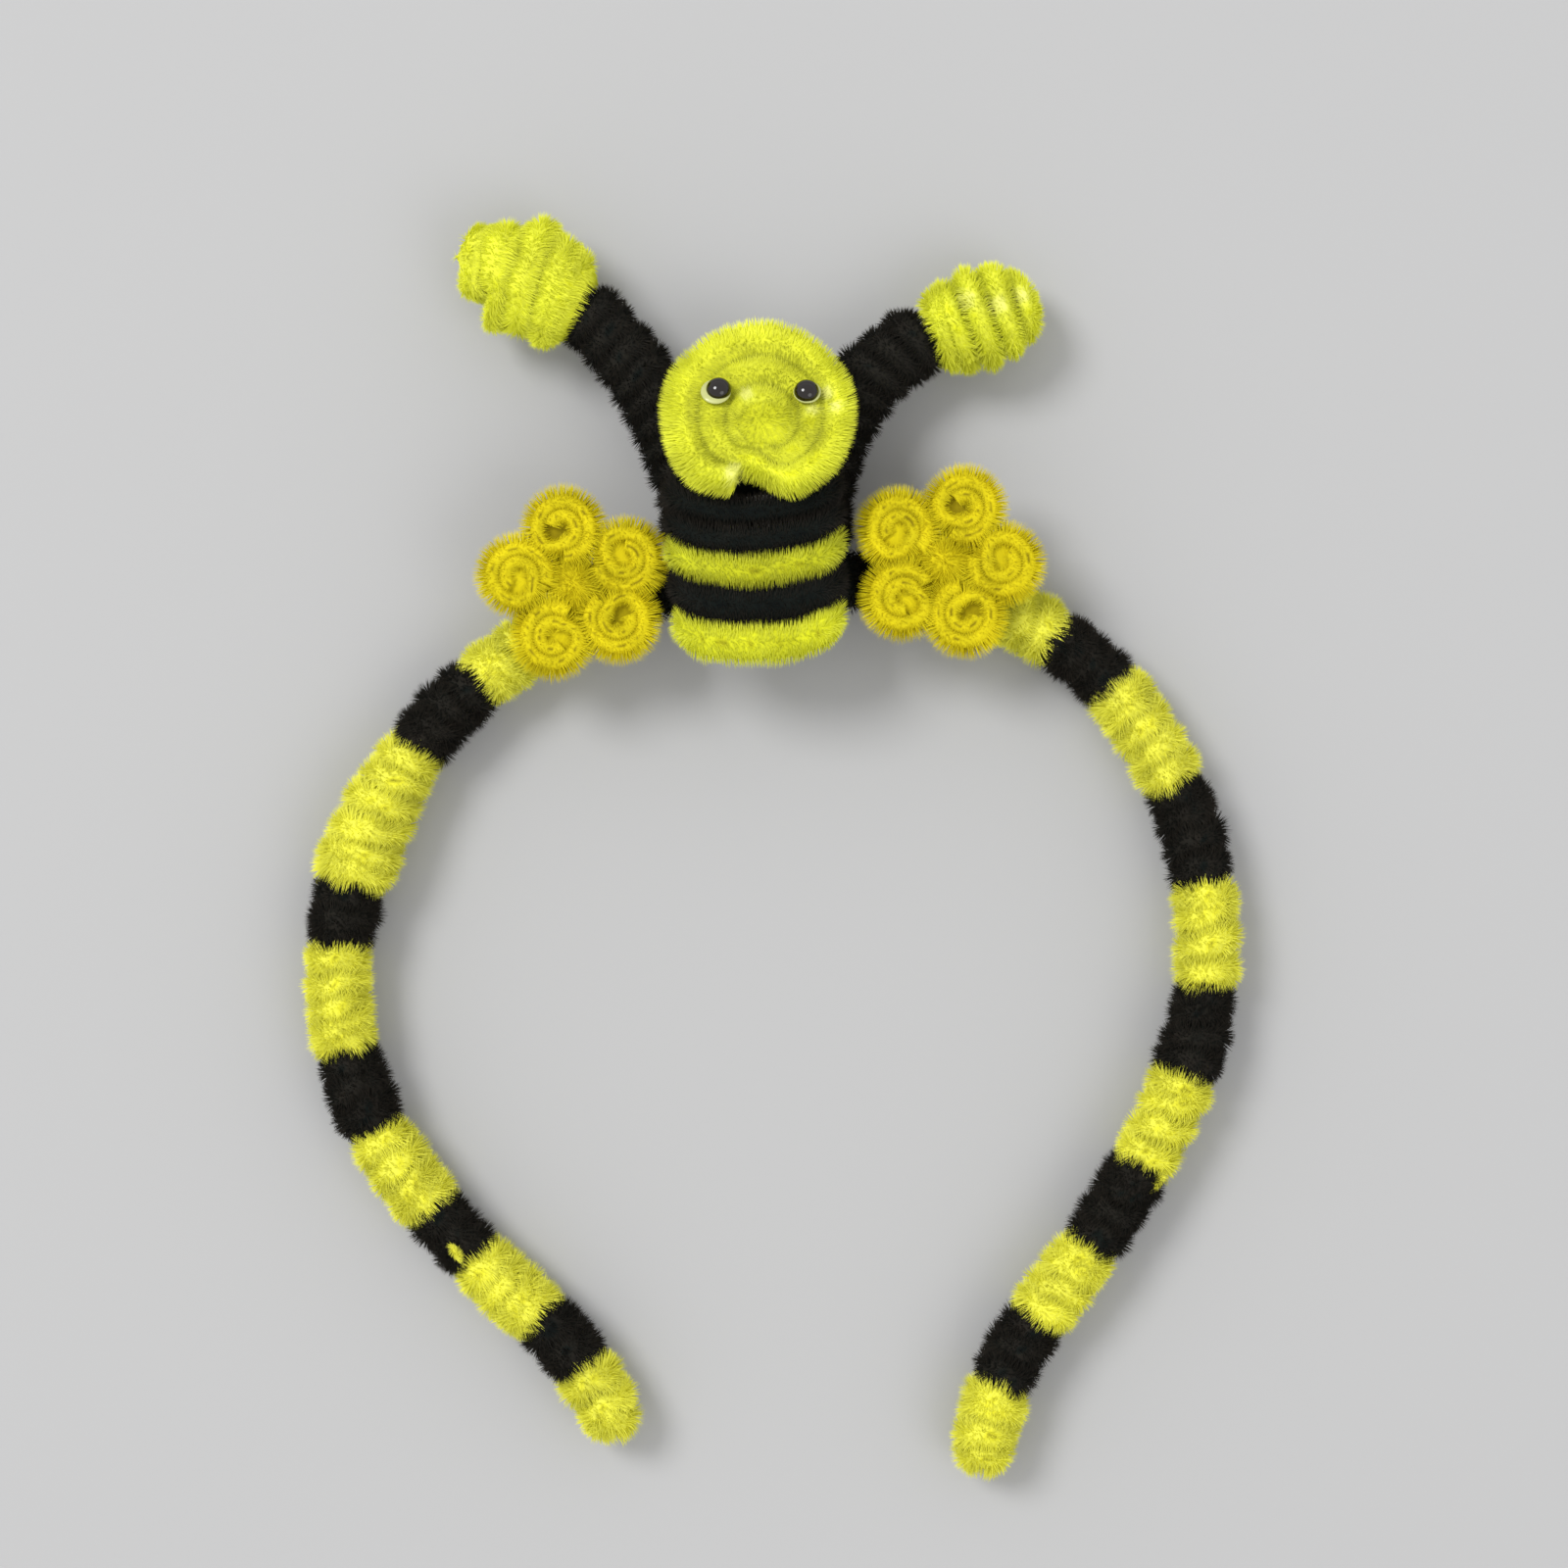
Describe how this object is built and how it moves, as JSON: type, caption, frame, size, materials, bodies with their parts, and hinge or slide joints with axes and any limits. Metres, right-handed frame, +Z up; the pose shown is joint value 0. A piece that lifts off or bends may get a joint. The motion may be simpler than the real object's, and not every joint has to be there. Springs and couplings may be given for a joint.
{
  "type": "bee antenna headband",
  "caption": "Child's costume headband wound with striped chenille stems, with a coiled bee, flowers and antennae at its crown.",
  "frame": {"origin": "middle of the part's extent in X and Y, on the surface that it lies on", "axes": "+X to the bee's right side in the picture, +Y from the tips of the hoop towards the antennae, +Z up off the surface, towards the bee's face"},
  "size_m": [0.15, 0.1984, 0.0314],
  "materials": {
    "band": "smooth black plastic, hidden inside the winding",
    "black_chenille": "soft cut pile on a twisted wire, matt black",
    "yellow_chenille": "soft cut pile on a twisted wire, matt yellow",
    "lemon_chenille": "soft cut pile on a twisted wire, matt lemon yellow",
    "gold_chenille": "soft cut pile on a twisted wire, matt golden yellow",
    "bead": "polished black bead"
  },
  "bodies": {
    "root": {"hoop_band": "band", "crown_winding": "black_chenille", "left_yellow_1": "yellow_chenille", "left_black_1": "black_chenille", "left_yellow_2": "yellow_chenille", "left_black_2": "black_chenille", "left_yellow_3": "yellow_chenille", "left_black_3": "black_chenille", "left_yellow_4": "yellow_chenille", "left_black_4": "black_chenille", "left_yellow_5": "yellow_chenille", "left_black_5": "black_chenille", "left_yellow_6": "yellow_chenille", "right_yellow_1": "yellow_chenille", "right_black_1": "black_chenille", "right_yellow_2": "yellow_chenille", "right_black_2": "black_chenille", "right_yellow_3": "yellow_chenille", "right_black_3": "black_chenille", "right_yellow_4": "yellow_chenille", "right_black_4": "black_chenille", "right_yellow_5": "yellow_chenille", "right_black_5": "black_chenille", "right_yellow_6": "yellow_chenille", "left_stalk": "black_chenille", "left_ball": "lemon_chenille", "right_stalk": "black_chenille", "right_ball": "lemon_chenille", "body_black_1": "black_chenille", "body_yellow_1": "lemon_chenille", "body_black_2": "black_chenille", "body_yellow_2": "lemon_chenille", "head_coil": "lemon_chenille", "left_eye": "bead", "right_eye": "bead", "left_petal_1": "gold_chenille", "left_petal_2": "gold_chenille", "left_petal_3": "gold_chenille", "left_petal_4": "gold_chenille", "left_petal_5": "gold_chenille", "left_flower_knob": "gold_chenille", "right_petal_1": "gold_chenille", "right_petal_2": "gold_chenille", "right_petal_3": "gold_chenille", "right_petal_4": "gold_chenille", "right_petal_5": "gold_chenille", "right_flower_knob": "gold_chenille"}
  },
  "joints": []
}
